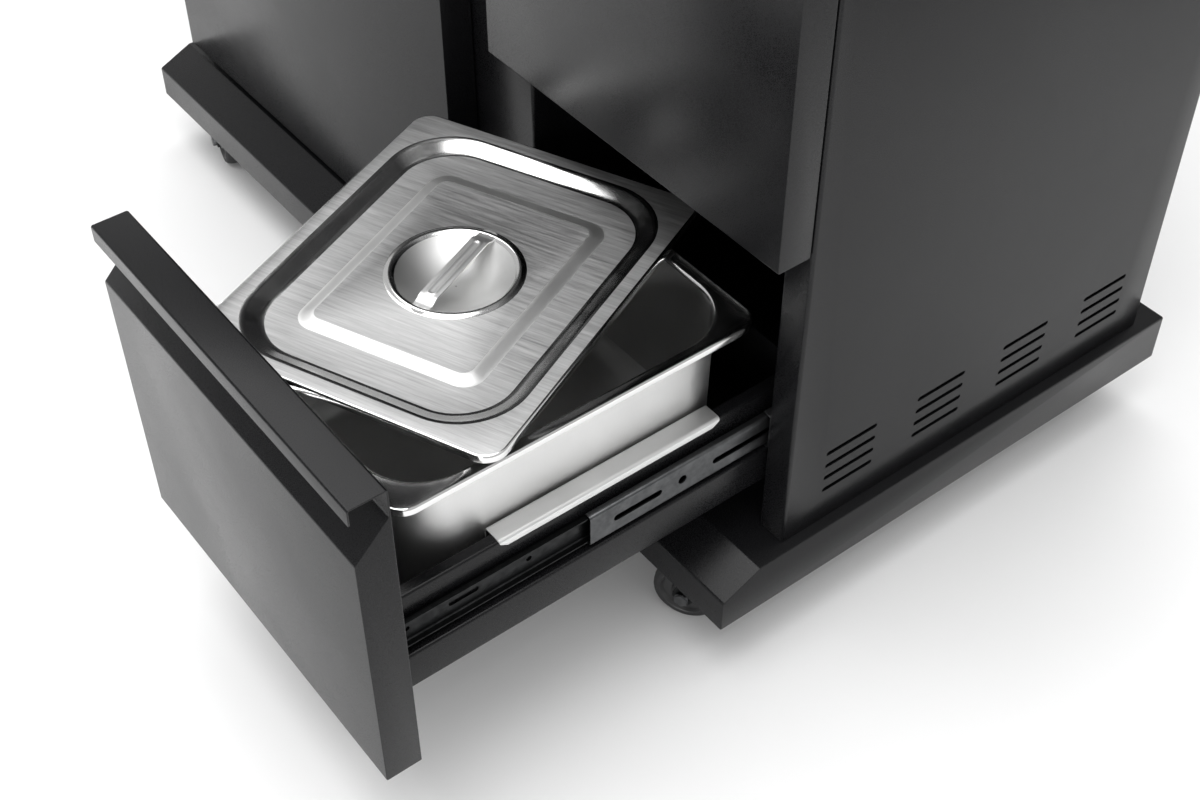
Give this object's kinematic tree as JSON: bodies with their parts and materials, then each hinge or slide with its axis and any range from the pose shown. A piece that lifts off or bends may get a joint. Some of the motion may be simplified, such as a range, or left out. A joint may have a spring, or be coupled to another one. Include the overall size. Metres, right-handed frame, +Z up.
{
  "type": "outdoor kitchen cabinet with waste drawer",
  "caption": "Black wheeled outdoor kitchen cabinet with a door, an upper drawer and an open waste drawer that holds a lidded stainless pan.",
  "frame": {"origin": "on the ground, under the middle of the box around the whole object with its waste drawer open", "axes": "+X to the right seen from the front, +Y from the fronts into the cabinet, +Z up"},
  "size_m": [0.968, 0.843, 0.8503],
  "materials": {
    "black_coating": "satin black powder coating with a fine texture",
    "stainless": "bright pressed stainless steel with brushed fields",
    "zinc": "zinc-plated steel",
    "dark_zinc": "black zinc-plated steel",
    "wheel_rubber": "black moulded wheel"
  },
  "bodies": {
    "cabinet": {"plinth_tray": "black_coating", "castor_rail_right": "zinc", "castor_rail_left": "zinc", "castor_plate_front_right": "zinc", "castor_plate_rear_right": "zinc", "castor_plate_front_left": "zinc", "castor_plate_rear_left": "zinc", "side_panel_right": "black_coating", "side_panel_left": "black_coating", "back_panel": "black_coating", "centre_post": "black_coating", "bay_wall_left": "black_coating", "bay_wall_right": "black_coating", "divider_rail": "black_coating", "top_rail": "black_coating", "worktop": "stainless", "hinge_bracket_lower": "zinc", "hinge_bracket_upper": "zinc", "upper_slide_outer_left": "zinc", "upper_slide_outer_right": "zinc", "waste_slide_outer_left": "zinc", "waste_slide_outer_right": "zinc"},
    "door": {"door_skin": "black_coating", "door_liner": "black_coating"},
    "upper_drawer": {"upper_front": "black_coating", "upper_front_liner": "black_coating", "upper_box": "black_coating", "upper_box_back": "black_coating", "upper_slide_inner_left": "dark_zinc", "upper_slide_inner_right": "dark_zinc"},
    "upper_slides": {"upper_slide_mid_left": "zinc", "upper_slide_mid_right": "zinc"},
    "waste_drawer": {"waste_front": "black_coating", "waste_front_liner": "black_coating", "waste_box": "black_coating", "waste_box_back": "black_coating", "waste_slide_inner_left": "dark_zinc", "waste_slide_inner_right": "dark_zinc"},
    "waste_slides": {"waste_slide_mid_left": "zinc", "waste_slide_mid_right": "zinc"},
    "pan": {"pan": "stainless", "pan_hanger_left": "stainless", "pan_hanger_right": "stainless"},
    "lid": {"lid": "stainless", "lid_strap": "stainless"},
    "castor_fork_front_right": {"castor_fork_front_right": "dark_zinc", "castor_axle_front_right": "zinc"},
    "castor_wheel_front_right": {"castor_wheel_front_right": "wheel_rubber"},
    "castor_fork_rear_right": {"castor_fork_rear_right": "dark_zinc", "castor_axle_rear_right": "zinc"},
    "castor_wheel_rear_right": {"castor_wheel_rear_right": "wheel_rubber"},
    "castor_fork_front_left": {"castor_fork_front_left": "dark_zinc", "castor_axle_front_left": "zinc"},
    "castor_wheel_front_left": {"castor_wheel_front_left": "wheel_rubber"},
    "castor_fork_rear_left": {"castor_fork_rear_left": "dark_zinc", "castor_axle_rear_left": "zinc"},
    "castor_wheel_rear_left": {"castor_wheel_rear_left": "wheel_rubber"}
  },
  "joints": [
    {"name": "door_hinge", "type": "hinge", "parent": "cabinet", "child": "door", "pos_m": [-0.463, -0.0555, 0.118], "axis": [0, 0, -1], "range_deg": [0, 110]},
    {"name": "upper_drawer_slide", "type": "slide", "parent": "cabinet", "child": "upper_drawer", "axis": [0, -1, 0], "range_m": [0, 0.4]},
    {"name": "upper_slide_run", "type": "slide", "parent": "cabinet", "child": "upper_slides", "axis": [0, -1, 0], "range_m": [0, 0.2]},
    {"name": "waste_drawer_slide", "type": "slide", "parent": "cabinet", "child": "waste_drawer", "axis": [0, -1, 0], "range_m": [-0.008, 0.05]},
    {"name": "waste_slide_run", "type": "slide", "parent": "cabinet", "child": "waste_slides", "axis": [0, -1, 0], "range_m": [-0.004, 0.025]},
    {"name": "pan_lift", "type": "slide", "parent": "waste_drawer", "child": "pan", "axis": [0, 0, 1], "range_m": [0, 0.06]},
    {"name": "lid_turn", "type": "hinge", "parent": "pan", "child": "lid", "pos_m": [0.19612, -0.3725, 0.325], "axis": [0, 0, 1], "range_deg": [-24, 0]},
    {"name": "castor_swivel_front_right", "type": "hinge", "parent": "cabinet", "child": "castor_fork_front_right", "pos_m": [0.43, -0.0735, 0.07], "axis": [0, 0, 1], "continuous": true},
    {"name": "castor_roll_front_right", "type": "hinge", "parent": "castor_fork_front_right", "child": "castor_wheel_front_right", "pos_m": [0.40748, -0.0865, 0.03], "axis": [0.5, -0.866, 0], "continuous": true},
    {"name": "castor_swivel_rear_right", "type": "hinge", "parent": "cabinet", "child": "castor_fork_rear_right", "pos_m": [0.43, 0.3545, 0.07], "axis": [0, 0, 1], "continuous": true},
    {"name": "castor_roll_rear_right", "type": "hinge", "parent": "castor_fork_rear_right", "child": "castor_wheel_rear_right", "pos_m": [0.42111, 0.37893, 0.03], "axis": [-0.9397, -0.342, 0], "continuous": true},
    {"name": "castor_swivel_front_left", "type": "hinge", "parent": "cabinet", "child": "castor_fork_front_left", "pos_m": [-0.43, -0.0735, 0.07], "axis": [0, 0, 1], "continuous": true},
    {"name": "castor_roll_front_left", "type": "hinge", "parent": "castor_fork_front_left", "child": "castor_wheel_front_left", "pos_m": [-0.40489, -0.08023, 0.03], "axis": [0.2588, 0.9659, 0], "continuous": true},
    {"name": "castor_swivel_rear_left", "type": "hinge", "parent": "cabinet", "child": "castor_fork_rear_left", "pos_m": [-0.43, 0.3545, 0.07], "axis": [0, 0, 1], "continuous": true},
    {"name": "castor_roll_rear_left", "type": "hinge", "parent": "castor_fork_rear_left", "child": "castor_wheel_rear_left", "pos_m": [-0.42327, 0.37961, 0.03], "axis": [-0.9659, 0.2588, 0], "continuous": true}
  ],
  "couplings": [
    {"joint": "upper_slide_run", "follows": "upper_drawer_slide", "ratio": 0.5},
    {"joint": "waste_slide_run", "follows": "waste_drawer_slide", "ratio": 0.5}
  ]
}
